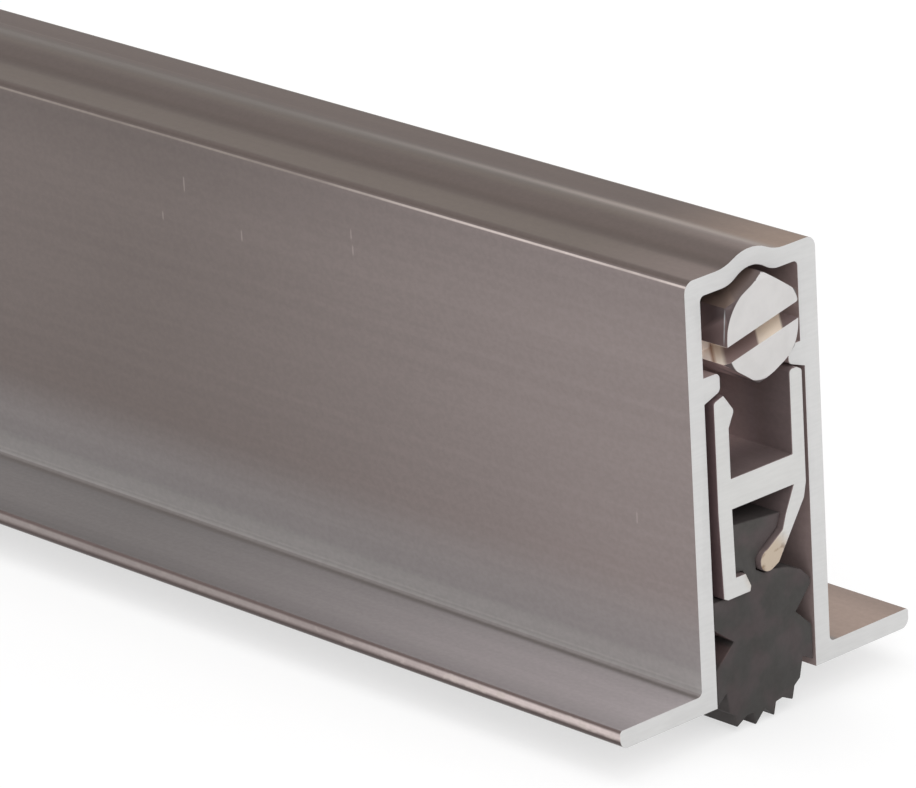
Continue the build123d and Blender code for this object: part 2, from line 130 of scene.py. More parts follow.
# The bar's inner faces are paler, as painted light against their shade
BAR_SIDE_GREY, BAR_INNER_GREY = (0.45, 0.375, 0.38), (0.78, 0.695, 0.69)
BULB_IVORY, BULB_BROWN = (0.76, 0.70, 0.63), (0.56, 0.47, 0.39)
RUBBER_GREY, RUBBER_MAUVE, RUBBER_SIDE = (0.215, 0.205, 0.197), (0.255, 0.222, 0.222), (0.255, 0.235, 0.23)
RUBBER_NOTCH = (0.34, 0.28, 0.275)
# The screw's flats carry painted light and shade by which way they face, with a painted glint
SCREW_FACE, SCREW_SIDE, SCREW_OLIVE = (0.82, 0.81, 0.805), (0.525, 0.45, 0.445), (0.475, 0.41, 0.375)
SCREW_GLINT, SCREW_CHAMFER, SCREW_UNDER = (0.86, 0.87, 0.88), (0.30, 0.25, 0.25), (0.76, 0.65, 0.64)
SLOT_BROWN, SLOT_DARK, SLOT_NOTCH = (0.59, 0.51, 0.50), (0.49, 0.425, 0.425), (0.70, 0.56, 0.47)
SLOT_TAN, SLOT_CREAM = (0.98, 0.93, 0.87), (1.0, 0.95, 0.91)
BUSH_DARK = (0.13, 0.125, 0.125)

# Noise, as the number of features per metre along X, Y and Z
SAW_MARKS, SAW_PATCHES = (300, 500, 4500), (300, 330, 330)
DIE_LINES, METAL_GRAIN, METAL_CLOUDS = (5, 1400, 1400), (2400, 3200, 3200), (22, 60, 60)
# On the next line: noise that breaks up the painted highlight on the roof's long edges, and the tips' painted
# sheen patches and glints
EDGE_HIGHLIGHT_BREAKS, TIP_PATCHES, TIP_SPECKLES = (160, 900, 900), (60, 400, 400), (900, 1500, 1500)
# Ivory and brown patches on the bar's foot
BULB_PATCHES = (500, 1300, 1300)
TOOL_MARKS, TOOL_CLOUDS = (900, 900, 900), (200, 200, 200)
RUBBER_GRAIN, RUBBER_CLOUDS = (2600, 2600, 2600), (260, 420, 420)
RUBBER_LINES, RUBBER_MOTTLE = (20, 1500, 1500), (350, 380, 380)
BUSH_GRAIN, PAPER_FIBRES = (3000, 3000, 3000), (700, 700, 700)

# Most values of a noise lie in this span
NOISE_SPAN = (0.3, 0.7)

# Metallic share and roughness of drawn metal, of a saw-cut end and of the housing's inside
DRAWN_METALLIC, CUT_METALLIC, INSIDE_SHARE = 0.4, 0.15, 0.2
DRAWN_ROUGHNESS, CUT_ROUGHNESS, INSIDE_ROUGHNESS = 0.45, 0.6, 0.6
BAR_METALLIC, SMALL_PIECE_METALLIC = 0.3, 0.9
SCREW_METALLIC, SCREW_FACE_METALLIC, SCREW_ROUGHNESS = 0.4, 0.2, 0.42
DULL_SPECULAR = 0.2

# Depth and strength of the bumps
METAL_BUMP, TOOL_BUMP, RUBBER_BUMP, BUSH_BUMP = 0.006 * MM, 0.008 * MM, 0.02 * MM, 0.01 * MM
METAL_BUMP_STRENGTH, TOOL_BUMP_STRENGTH, SCREW_BUMP_STRENGTH = 0.5, 0.4, 0.3
RUBBER_BUMP_STRENGTH, BUSH_BUMP_STRENGTH = 0.6, 0.4


def linear(colour):
    """An sRGB colour as linear RGBA for a shader's socket."""
    return [c / 12.92 if c <= 0.04045 else ((c + 0.055) / 1.055) ** 2.4 for c in colour] + [1]


class Nodes:
    """A material's node tree, with short calls for the few kinds of node used here.

    x, y and z are the place on the object in metres, out is the distance from the middle plane, and
    facing_x, facing_y and facing_z are the parts of the direction that the surface faces. A span is the
    pair of values at which a change starts and is done.
    """

    def __init__(self, name):
        self.material = bpy.data.materials.new(name)
        self.material.use_nodes = True
        self.tree = self.material.node_tree
        self.shader = self.tree.nodes["Principled BSDF"]
        self.place = self.add("ShaderNodeTexCoord").outputs["Object"]
        self.x, self.y, self.z = self.axes(self.place)
        self.out = self.math("ABSOLUTE", self.y)
        facing = self.add("ShaderNodeTexCoord").outputs["Normal"]
        self.facing_x, self.facing_y, self.facing_z = self.axes(facing)

    def add(self, kind, **settings):
        node = self.tree.nodes.new(kind)
        for key, value in settings.items():
            setattr(node, key, value)
        return node

    def put(self, value, socket):
        """Link an output to a socket, or set the socket to a plain value."""
        if isinstance(value, bpy.types.NodeSocket):
            self.tree.links.new(value, socket)
        else:
            socket.default_value = value

    def axes(self, vector):
        """The X, Y and Z parts of a vector."""
        split = self.add("ShaderNodeSeparateXYZ")
        self.put(vector, split.inputs[0])
        return tuple(split.outputs[name] for name in "XYZ")

    def math(self, operation, a, b=0.0):
        node = self.add("ShaderNodeMath", operation=operation)
        self.put(a, node.inputs[0])
        self.put(b, node.inputs[1])
        return node.outputs[0]

    def times(self, a, b):
        return self.math("MULTIPLY", a, b)

    def ramp(self, value, span, to_low=0.0, to_high=1.0):
        """Map a value from its span to to_low..to_high with soft turns, held at both ends."""
        node = self.add("ShaderNodeMapRange", interpolation_type="SMOOTHSTEP")
        for setting, socket in zip((value, *span, to_low, to_high), node.inputs):
            self.put(setting, socket)
        return node.outputs[0]

    def fade(self, value, span, to_low=0.0, to_high=1.0):
        """A ramp of a length, with the span in millimetres."""
        return self.ramp(value, [end * MM for end in span], to_low, to_high)

    def along(self, span, to_far=0.0, to_near=1.0):
        """A ramp along X, with the span as millimetres from the cut end."""
        return self.ramp(self.x, [end_x - end * MM for end in span], to_far, to_near)

    def band(self, value, span, soft, most=1.0):
        """most within the span, falling to 0 over the soft width on either side."""
        low, high = span
        rising = self.ramp(value, (low - soft, low + soft))
        falling = self.ramp(value, (high - soft, high + soft), most, 0.0)
        return self.times(rising, falling)

    def stripe(self, value, span, soft, most=1.0):
        """A band of a length, with the span and the soft width in millimetres."""
        return self.band(value, [end * MM for end in span], soft * MM, most)

    def below(self, value, limit):
        return self.math("LESS_THAN", value, limit)

    def above(self, value, limit):
        return self.math("GREATER_THAN", value, limit)

    def noise(self, stretch, detail=3.0):
        """Noise between 0 and 1, with stretch as the number of features per metre along X, Y and Z."""
        scaled = self.add("ShaderNodeVectorMath", operation="MULTIPLY")
        self.put(self.place, scaled.inputs[0])
        self.put(stretch, scaled.inputs[1])
        node = self.add("ShaderNodeTexNoise")
        self.put(scaled.outputs[0], node.inputs["Vector"])
        self.put(1.0, node.inputs["Scale"])
        self.put(detail, node.inputs["Detail"])
        self.put(0.5, node.inputs["Roughness"])
        return node.outputs["Fac"]

    def mix(self, factor, a, b):
        """Mix two colours, each an sRGB triple or an output."""
        node = self.add("ShaderNodeMix", data_type="RGBA", blend_type="MIX")
        self.put(factor, node.inputs[0])
        for colour, socket in ((a, node.inputs[6]), (b, node.inputs[7])):
            self.put(linear(colour) if isinstance(colour, tuple) else colour, socket)
        return node.outputs[2]

    def plain(self, colour):
        """A colour as an output, so that it can be scaled."""
        return self.mix(0.0, colour, colour)

    def blend_values(self, factor, a, b):
        node = self.add("ShaderNodeMix")
        self.put(factor, node.inputs[0])
        self.put(a, node.inputs[2])
        self.put(b, node.inputs[3])
        return node.outputs[0]

    def shade(self, value, spread):
        """A noise as a value around 1 that strays by spread either way."""
        return self.ramp(value, NOISE_SPAN, 1 - spread, 1 + spread)

    def scale_colour(self, colour, value):
        node = self.add("ShaderNodeVectorMath", operation="SCALE")
        self.put(colour, node.inputs[0])
        self.put(value, node.inputs["Scale"])
        return node.outputs[0]

    def bump(self, height, depth, strength):
        """Bump from a height between 0 and 1, with depth in metres."""
        node = self.add("ShaderNodeBump")
        self.put(strength, node.inputs["Strength"])
        self.put(depth, node.inputs["Distance"])
        self.put(height, node.inputs["Height"])
        return node.outputs[0]

    def finish(self, colour, roughness, metallic, normal=None):
        self.put(colour, self.shader.inputs["Base Color"])
        self.put(roughness, self.shader.inputs["Roughness"])
        self.put(metallic, self.shader.inputs["Metallic"])
        if normal is not None:
            self.put(normal, self.shader.inputs["Normal"])
        return self.material


# How squarely a face looks along X or up when it counts as a cut end or as level
CUT_FACING, LEVEL_FACING = (0.75, 0.95), (0.5, 0.85)


def cut_end(n):
    """1 on faces that look along X, which are the saw-cut ends, and 0 elsewhere."""
    return n.ramp(n.math("ABSOLUTE", n.facing_x), CUT_FACING)


def level(n):
    """1 on faces that look up, and 0 on the sides."""
    return n.ramp(n.facing_z, LEVEL_FACING)


SAW_SPREAD, SAW_PATCH_SPREAD = 0.02, 0.015
LINE_SPREAD, GRAIN_SPREAD, CLOUD_SPREAD = 0.03, 0.035, 0.03


def saw_cut(n, grey):
    """The colour of a saw-cut aluminium end and the height of its fine marks."""
    saw = n.noise(SAW_MARKS)
    patches = n.noise(SAW_PATCHES, detail=2)
    colour = n.scale_colour(n.plain(grey), n.shade(saw, SAW_SPREAD))
    return n.scale_colour(colour, n.shade(patches, SAW_PATCH_SPREAD)), saw


def drawn_lines(n, colour):
    """Die lines along X, fine grain and faint clouds over a colour, and their height."""
    lines = n.noise(DIE_LINES, detail=4)
    grain = n.noise(METAL_GRAIN, detail=2)
    clouds = n.noise(METAL_CLOUDS)
    for value, spread in ((lines, LINE_SPREAD), (grain, GRAIN_SPREAD), (clouds, CLOUD_SPREAD)):
        colour = n.scale_colour(colour, n.shade(value, spread))
    return colour, n.math("ADD", lines, grain)


# Upright scratches on the side: place along X from the cut end, upper end and length, in millimetres
SCRATCHES = (
    (-51.1, 27.0, 1.1),
    (-45.1, 24.2, 0.8),
    (-33.3, 26.8, 0.7),
    (-33.2, 25.6, 0.7),
    (-53.7, 23.8, 0.6),
    (-5.6, 12.2, 0.8),
)
SCRATCH_HALF_WIDTH, SCRATCH_END_SOFT, SCRATCH_SHARE = 0.06 * MM, 0.15, 0.28


def scratches(n):
    """1 on the small upright scratches of the side, and 0 elsewhere."""
    marks = 0.0
    for place, top, length in SCRATCHES:
        middle = end_x + place * MM
        across = n.band(n.x, (middle - SCRATCH_HALF_WIDTH, middle + SCRATCH_HALF_WIDTH), SCRATCH_HALF_WIDTH)
        down = n.stripe(n.z, (top - length, top), SCRATCH_END_SOFT)
        marks = n.math("ADD", marks, n.times(across, down))
    return marks


# The side, in millimetres: along it from the cut end, up it from the flange, and out from the middle
SIDE_ALONG = (62, 0)
FOOT_HEIGHTS, FOOT_SHARE = (8, 2), 0.8
PALE_FOOT_HEIGHTS = (2.6, 0.6)
UNDER_ROOF_HEIGHTS, UNDER_ROOF_SHADE = (24, 29.5), 0.88
FOOT_LINE_HEIGHTS, FOOT_LINE_SOFT, FOOT_LINE_SHARE = (0.45, 0.6), 0.1, 0.8
FOOT_LINE_REACH = 6.5


def side_colour(n):
    """The long sides, with painted light and shade: paler toward the cut end and the foot, darker under the
    roof, and a painted highlight line along the foot; with a few scratches.
    """
    colour = n.mix(n.along(SIDE_ALONG), SIDE_FAR, SIDE_NEAR)
    colour = n.mix(n.fade(n.z, FOOT_HEIGHTS, 0, FOOT_SHARE), colour, SIDE_FOOT)
    colour = n.mix(n.fade(n.z, PALE_FOOT_HEIGHTS), colour, FOOT_PALE)
    colour = n.scale_colour(colour, n.fade(n.z, UNDER_ROOF_HEIGHTS, 1.0, UNDER_ROOF_SHADE))
    foot_line = n.stripe(n.z, FOOT_LINE_HEIGHTS, FOOT_LINE_SOFT, FOOT_LINE_SHARE)
    foot_line = n.times(foot_line, n.below(n.out, FOOT_LINE_REACH * MM))
    colour = n.mix(foot_line, colour, FOOT_LINE)
    marks = n.times(scratches(n), n.below(n.y, 0.0))
    return n.mix(n.times(marks, SCRATCH_SHARE), colour, EDGE_NEAR)


# The roof, in millimetres: across it from the middle, and along it from the cut end
ROOF_END_ALONG, OVER_CREST = (14, -2), (0.5, 2.5)
NEAR_SLOPE_FACING, NEAR_SLOPE_SHARE = (-0.05, -0.3), 0.9
CREASE_WIDTHS, CREASE_SOFT, CREASE_SHARE = (-3.0, -2.0), 0.4, 0.85
DIM_ROOF_ALONG, DIM_ROOF_SHADE = (70, 20), 0.93
TAN_FACING, TAN_SOFT = (0.2, 0.6), 0.12
TAN_ALONG, TAN_LEAST = (55, 10), 0.1
# Painted shade over the crest, away from the cut end
CREST_SHADE_WIDTHS, CREST_SHADE_SOFT, CREST_SHADE_SHARE = (-0.2, 2.9), 0.5, 0.2
CREST_SHADE_ALONG = (24, 12)


def roof_colour(n):
    """The humped roof, with painted light and shade: paler toward the cut end and beyond the crest, painted
    shade on the near slope, in the crease beside the hump and over the crest away from the cut end, and a
    painted tan band on the far slope that is a highlight near the cut end and darker away from it.
    """
    over_crest = n.fade(n.y, OVER_CREST)
    away = n.mix(over_crest, ROOF_FAR, ROOF_RIGHT_FAR)
    by_end = n.mix(over_crest, ROOF_NEAR, ROOF_RIGHT)
    roof = n.mix(n.along(ROOF_END_ALONG), away, by_end)
    roof = n.mix(n.ramp(n.facing_y, NEAR_SLOPE_FACING, 0, NEAR_SLOPE_SHARE), roof, ROOF_SHADE)
    roof = n.mix(n.stripe(n.y, CREASE_WIDTHS, CREASE_SOFT, CREASE_SHARE), roof, ROOF_CREASE)
    roof = n.scale_colour(roof, n.along(DIM_ROOF_ALONG, DIM_ROOF_SHADE, 1.0))
    tan = n.mix(n.along(TAN_ALONG, TAN_LEAST, 1.0), ROOF_TAN_FAR, ROOF_TAN)
    roof = n.mix(n.band(n.facing_y, TAN_FACING, TAN_SOFT), roof, tan)
    crest_shade = n.stripe(n.y, CREST_SHADE_WIDTHS, CREST_SHADE_SOFT, CREST_SHADE_SHARE)
    crest_shade = n.times(crest_shade, n.along(CREST_SHADE_ALONG, 1.0, 0.0))
    return n.scale_colour(roof, n.math("SUBTRACT", 1.0, crest_shade))


# The flanges, in millimetres: along them from the cut end, out from the middle, and up from their tops
FLANGE_ALONG, FLANGE_TOP = (60, 0), 0.2
FLANGE_TIP_WIDTHS, FLANGE_TIP_SHADE = (11.5, 13.9), 0.8
BY_WALL_WIDTHS, BY_WALL_SHADE = (6.9, 8.8), 0.88
ROOT_WIDTHS, ROOT_SOFT, ROOT_HEIGHTS, ROOT_BOTTOM = (6.42, 7.05), 0.3, (0.4, 0.25), -0.1


def flange_colour(n):
    """The flanges' upper faces, with painted light and shade: paler toward the cut end, the far flange
    painted tan as reflected light, and darker beside the wall and at the tip.
    """
    flange = n.mix(n.along(FLANGE_ALONG), FLANGE_FAR, FLANGE_NEAR)
    flange = n.mix(n.above(n.y, 0.0), flange, FLANGE_RIGHT)
    flange = n.scale_colour(flange, n.fade(n.out, FLANGE_TIP_WIDTHS, 1.0, FLANGE_TIP_SHADE))
    return n.scale_colour(flange, n.fade(n.out, BY_WALL_WIDTHS, BY_WALL_SHADE, 1.0))


def flange_root(n):
    """1 in the corner between a wall and its flange, where painted shade goes, and 0 elsewhere."""
    root = n.times(n.stripe(n.out, ROOT_WIDTHS, ROOT_SOFT), n.fade(n.z, ROOT_HEIGHTS))
    return n.times(root, n.above(n.z, ROOT_BOTTOM * MM))


# The roof's long edges, with a painted dark line of shade and a painted highlight line: their place in
# millimetres, and which way their rounding faces
EDGE_HEIGHTS, EDGE_WIDTHS, EDGE_ALONG = (29.2, 29.35), (5.4, 5.5), (42, 15)
DARK_EDGE_FACING, DARK_EDGE_SOFT, DARK_EDGE_SHARE = (0.3, 0.62), 0.08, 0.8
PALE_EDGE_FACING, PALE_EDGE_SOFT = (0.77, 0.87), 0.025
HIGHLIGHT_BREAK_SPAN, HIGHLIGHT_BREAK_LEAST = (0.35, 0.6), 0.35


def painted_edge_lines(n, colour):
    """A colour with the roof's long edges on it: a painted dark line of shade above, and a painted highlight
    line that is broken in places.
    """
    side_turn = n.math("ABSOLUTE", n.facing_y)
    corner = n.times(n.fade(n.z, EDGE_HEIGHTS), n.fade(n.out, EDGE_WIDTHS))
    dark_line = n.times(corner, n.band(side_turn, DARK_EDGE_FACING, DARK_EDGE_SOFT, DARK_EDGE_SHARE))
    colour = n.mix(dark_line, colour, ROOF_SHADE)
    broken = n.ramp(n.noise(EDGE_HIGHLIGHT_BREAKS), HIGHLIGHT_BREAK_SPAN, HIGHLIGHT_BREAK_LEAST, 1.0)
    pale_line = n.times(corner, n.band(side_turn, PALE_EDGE_FACING, PALE_EDGE_SOFT))
    return n.mix(n.times(broken, pale_line), colour, n.mix(n.along(EDGE_ALONG), EDGE_FAR, EDGE_NEAR))


# The flanges' outer edges, in millimetres: out from the middle, up from the flanges' tops, and along them
TIP_WIDTHS, BROWN_TIP_HEIGHTS = (14.05, 14.2), (-0.7, -0.9)
SHEEN_BOTTOM, SHEEN_TOP, SHEEN_ALONG = (-0.86, -0.5), (-0.1, -0.3), (50, -5)
PATCH_SPAN, PATCH_LEAST = (0.3, 0.6), 0.6
SPECKLE_SPAN, SPECKLE_ALONG, SPECKLE_LEAST = (0.55, 0.68), (40, 5), 0.1


def tip_colour(n):
    """The flanges' outer edges: a painted sheen along the middle of their height, dimmer away from the cut
    end, with painted glints as speckles by the cut end, and darker toward the bottom.
    """
    tip = n.mix(n.fade(n.z, BROWN_TIP_HEIGHTS), TIP_BEIGE, TIP_BROWN)
    sheen = n.times(n.fade(n.z, SHEEN_BOTTOM), n.fade(n.z, SHEEN_TOP))
    sheen_colour = n.mix(n.along(SHEEN_ALONG), TIP_SHEEN_FAR, TIP_SHEEN)
    patches = n.ramp(n.noise(TIP_PATCHES), PATCH_SPAN, PATCH_LEAST, 1.0)
    tip = n.mix(n.times(sheen, patches), tip, sheen_colour)
    speckles = n.times(n.ramp(n.noise(TIP_SPECKLES), SPECKLE_SPAN), sheen)
    speckles = n.times(speckles, n.along(SPECKLE_ALONG, SPECKLE_LEAST, 1.0))
    return n.mix(speckles, tip, EDGE_NEAR)


# The housing's inside, in millimetres out from the middle and up from the flanges
CAVITY_REACH, CAVITY_TOP = 5.0, 29.8


def housing_finish():
    """Mill-finish aluminium with its shades by place, many of them painted light and shade: sides, roof,
    flanges, edges, inside and cut ends.
    """
    n = Nodes("housing_aluminium")
    n.put(DULL_SPECULAR, n.shader.inputs["Specular IOR Level"])
    colour = n.mix(level(n), side_colour(n), roof_colour(n))
    flange_faces = n.times(n.below(n.z, FLANGE_TOP * MM), level(n))
    colour = n.mix(flange_faces, colour, flange_colour(n))
    colour = n.mix(flange_root(n), colour, ROOT_DARK)
    colour = painted_edge_lines(n, colour)
    colour = n.mix(n.fade(n.out, TIP_WIDTHS), colour, tip_colour(n))
    # Painted light: a paler brown base lifts the shade inside the housing, which also gets less metal and
    # more roughness
    inside = n.times(n.below(n.out, CAVITY_REACH * MM), n.below(n.z, CAVITY_TOP * MM))
    colour = n.mix(inside, colour, CAVITY_BROWN)

    colour, height = drawn_lines(n, colour)
    cut = cut_end(n)
    cut_colour, saw = saw_cut(n, CUT_GREY)
    colour = n.mix(cut, colour, cut_colour)
    metallic = n.blend_values(cut, DRAWN_METALLIC, CUT_METALLIC)
    metallic = n.times(metallic, n.blend_values(inside, 1.0, INSIDE_SHARE))
    roughness = n.blend_values(inside, DRAWN_ROUGHNESS, INSIDE_ROUGHNESS)
    roughness = n.blend_values(cut, roughness, CUT_ROUGHNESS)
    normal = n.bump(n.blend_values(cut, height, saw), METAL_BUMP, METAL_BUMP_STRENGTH)
    return n.finish(colour, roughness, metallic, normal)


# The drop bar, in millimetres: its shift from the middle, where its outer faces start, how far in from the
# cut end its inner faces change from painted light to painted shade, and its crimped foot's round end
BAR_SHIFT, BAR_OUTSIDE = 0.3, (3.7, 4.0)
CHANNEL_ALONG, CHANNEL_PALE, CHANNEL_DARK = (6.5, 2), 1.12, 0.42
BULB_Y, BULB_Z, BULB_REACH = 0.3, 8.0, (2.8, 1.2)
BULB_PATCH_SPAN = (0.5, 0.7)


def bar_finish():
    """The drop bar: drawn faces, a channel with painted light deep inside and painted shade toward the cut
    end, and an ivory foot with brown patches.
    """
    n = Nodes("bar_aluminium")
    n.put(DULL_SPECULAR, n.shader.inputs["Specular IOR Level"])
    from_middle = n.math("ABSOLUTE", n.math("SUBTRACT", n.y, BAR_SHIFT * MM))
    inner = n.scale_colour(n.plain(BAR_INNER_GREY), n.along(CHANNEL_ALONG, CHANNEL_PALE, CHANNEL_DARK))
    colour = n.mix(n.fade(from_middle, BAR_OUTSIDE), inner, BAR_SIDE_GREY)
    colour, height = drawn_lines(n, colour)

    section = n.add("ShaderNodeVectorMath", operation="MULTIPLY")
    n.put(n.place, section.inputs[0])
    n.put((0, 1, 1), section.inputs[1])
    from_bulb = n.add("ShaderNodeVectorMath", operation="DISTANCE")
    n.put(section.outputs[0], from_bulb.inputs[0])
    n.put((0, BULB_Y * MM, BULB_Z * MM), from_bulb.inputs[1])
    bulb_patches = n.ramp(n.noise(BULB_PATCHES), BULB_PATCH_SPAN)
    ivory = n.mix(bulb_patches, BULB_IVORY, BULB_BROWN)

    cut = cut_end(n)
    cut_colour, saw = saw_cut(n, BAR_CUT_GREY)
    cut_colour = n.mix(n.fade(from_bulb.outputs["Value"], BULB_REACH), cut_colour, ivory)
    colour = n.mix(cut, colour, cut_colour)
    roughness = n.blend_values(cut, DRAWN_ROUGHNESS, CUT_ROUGHNESS)
    metallic = n.blend_values(cut, BAR_METALLIC, CUT_METALLIC)
    normal = n.bump(n.blend_values(cut, height, saw), METAL_BUMP, METAL_BUMP_STRENGTH)
    return n.finish(colour, roughness, metallic, normal)


# The screw: heights in millimetres above the flanges, and how its faces are turned
SCREW_TOP_HEIGHTS, SCREW_TOP_SHADE = (25.8, 27.4), 0.78
OLIVE_FACING, UNDER_FACING, CHAMFER_FACING = (0.2, 0.7), (-0.3, -0.7), (0.15, 0.3)
SCREW_SPREAD = 0.03

# A glint on the head's near edge: depths behind its face and heights, in millimetres
GLINT_BACK, GLINT_FRONT, GLINT_SOFT, GLINT_SHARE = 0.36 * MM, 0.26 * MM, 0.04 * MM, 0.8
GLINT_FACING, GLINT_HEIGHTS, GLINT_END_SOFT = -0.6, (25.2, 27.2), 0.5

# The slot: height of the screw's axis, turn of the slot, its offset, half width and depth
ROD_Z = 25.3 * MM
SLOT_TURN = math.radians(11.8)
SLOT_OFFSET, SLOT_REACH, SLOT_DEPTH = 0.306 * MM, 0.64 * MM, 3.05 * MM

# Painted light and shade along the slot, in millimetres across the head as they line up from the front
SLOT_START, SLOT_STOP = -6.0, 3.6
SLOT_LEAN = 0.84
SLOT_SHADES = (
    (-6.0, SLOT_CREAM),
    (-4.9, SLOT_CREAM),
    (-4.65, SLOT_NOTCH),
    (-4.35, SLOT_TAN),
    (-3.9, SLOT_TAN),
    (-3.5, SLOT_BROWN),
    (-0.6, SLOT_BROWN),
    (-0.4, SLOT_TAN),
    (1.75, SLOT_TAN),
    (1.95, SLOT_DARK),
)

# The head's flat face, with the lit top of the chamfer painted as bright as it: its middle and radius, its
# edge's softness, its top corner and its depth
FACE_MIDDLE_Y, FACE_MIDDLE_Z, FACE_RADIUS, FACE_EDGE = 0.15 * MM, 25.24 * MM, 3.62 * MM, 0.03 * MM
FACE_TOP = (ROD_Z + 3.1 * MM, ROD_Z + 3.2 * MM)
FACE_DEPTHS, FACE_FACING = (screw_end_x - 0.35 * MM, screw_end_x - 0.3 * MM), (0.5, 0.7)


def screw_side(n):
    """The screw apart from its face and slot, in painted light and shade by which way it faces: olive above,
    paler below, dark on the chamfer, darker toward the top, with a painted glint.
    """
    side = n.scale_colour(n.plain(SCREW_SIDE), n.fade(n.z, SCREW_TOP_HEIGHTS, 1.0, SCREW_TOP_SHADE))
    side = n.mix(n.ramp(n.facing_z, OLIVE_FACING), side, SCREW_OLIVE)
    side = n.mix(n.ramp(n.facing_z, UNDER_FACING), side, SCREW_UNDER)
    side = n.mix(n.ramp(n.facing_x, CHAMFER_FACING), side, SCREW_CHAMFER)
    behind_face = (screw_end_x - GLINT_BACK, screw_end_x - GLINT_FRONT)
    glint = n.times(n.band(n.x, behind_face, GLINT_SOFT, GLINT_SHARE), n.below(n.facing_y, GLINT_FACING))
    glint = n.times(glint, n.stripe(n.z, GLINT_HEIGHTS, GLINT_END_SOFT))
    return n.mix(glint, side, SCREW_GLINT)


def slot_colour(n):
    """The painted light and shade along the slot, which line up when the head is seen from the front."""
    lined_up = n.math("ADD", n.y, n.times(n.math("SUBTRACT", n.x, screw_end_x), SLOT_LEAN))
    from_start = n.math("SUBTRACT", lined_up, SLOT_START * MM)
    stops = n.add("ShaderNodeValToRGB")
    n.put(n.math("DIVIDE", from_start, (SLOT_STOP - SLOT_START) * MM), stops.inputs[0])
    while len(stops.color_ramp.elements) < len(SLOT_SHADES):
        stops.color_ramp.elements.new(0.5)
    for element, (place, colour) in zip(stops.color_ramp.elements, SLOT_SHADES):
        element.position = (place - SLOT_START) / (SLOT_STOP - SLOT_START)
        element.color = linear(colour)
    return stops.outputs["Color"]


def in_screw_slot(n):
    """1 in the slot of the screw's head, and 0 elsewhere."""
    lean = n.math("SUBTRACT", n.math("SUBTRACT", n.z, ROD_Z), n.times(n.y, math.tan(SLOT_TURN)))
    across = n.math("ABSOLUTE", n.math("ADD", lean, SLOT_OFFSET))
    return n.times(n.below(across, SLOT_REACH), n.above(n.x, screw_end_x - SLOT_DEPTH))


def on_screw_face(n):
    """1 on the flat face of the screw's head and, as a painted highlight, on the chamfer at its top corner,
    and 0 elsewhere.
    """
    from_middle_y = n.math("POWER", n.math("SUBTRACT", n.y, FACE_MIDDLE_Y), 2.0)
    from_middle_z = n.math("POWER", n.math("SUBTRACT", n.z, FACE_MIDDLE_Z), 2.0)
    from_middle = n.math("SQRT", n.math("ADD", from_middle_y, from_middle_z))
    round_part = n.ramp(from_middle, (FACE_RADIUS + FACE_EDGE, FACE_RADIUS - FACE_EDGE))
    face = n.math("MAXIMUM", round_part, n.ramp(n.z, FACE_TOP))
    face = n.times(face, n.ramp(n.x, FACE_DEPTHS))
    return n.times(face, n.ramp(n.facing_x, FACE_FACING))


def screw_finish():
    """Bright face, darker flats, and a slot that shows brown and tan along its length, with painted light and
    shade on the flats and in the slot.
    """
    n = Nodes("screw_steel")
    marks = n.noise(TOOL_MARKS)
    in_slot = in_screw_slot(n)
    face = on_screw_face(n)
    colour = n.mix(in_slot, screw_side(n), slot_colour(n))
    colour = n.mix(face, colour, SCREW_FACE)
    colour = n.scale_colour(colour, n.shade(marks, SCREW_SPREAD))
    metallic = n.blend_values(face, SCREW_METALLIC, SCREW_FACE_METALLIC)
    metallic = n.times(metallic, n.math("SUBTRACT", 1.0, in_slot))
    return n.finish(colour, SCREW_ROUGHNESS, metallic, n.bump(marks, TOOL_BUMP, SCREW_BUMP_STRENGTH))


def plain_metal(name, colour, roughness, stretch=TOOL_MARKS, spread=0.08):
    """A small steel, zinc or brass piece: tool marks in its colour, its roughness and a slight bump."""
    n = Nodes(name)
    marks = n.noise(stretch, detail=4)
    clouds = n.noise(TOOL_CLOUDS, detail=2)
    tinted = n.scale_colour(n.plain(colour), n.shade(marks, spread))
    tinted = n.scale_colour(tinted, n.shade(clouds, spread / 2))
    rough = n.ramp(marks, NOISE_SPAN, roughness - 0.06, roughness + 0.08)
    return n.finish(tinted, rough, SMALL_PIECE_METALLIC, n.bump(marks, TOOL_BUMP, TOOL_BUMP_STRENGTH))


# The seal: mottling, heights in millimetres above the flanges, and the notch in its near side
MOTTLE_SPAN, HEAD_HEIGHTS, SOLE_SHADE, HEAD_SHADE = (0.42, 0.62), (5, 8), 0.97, 1.28
NOTCH_HEIGHTS, NOTCH_SOFT, NOTCH_WIDTHS = (1.7, 4.3), 0.3, (-3, -3.4)
RUBBER_CLOUD_SPREAD, RUBBER_GRAIN_SPREAD = 0.08, 0.07


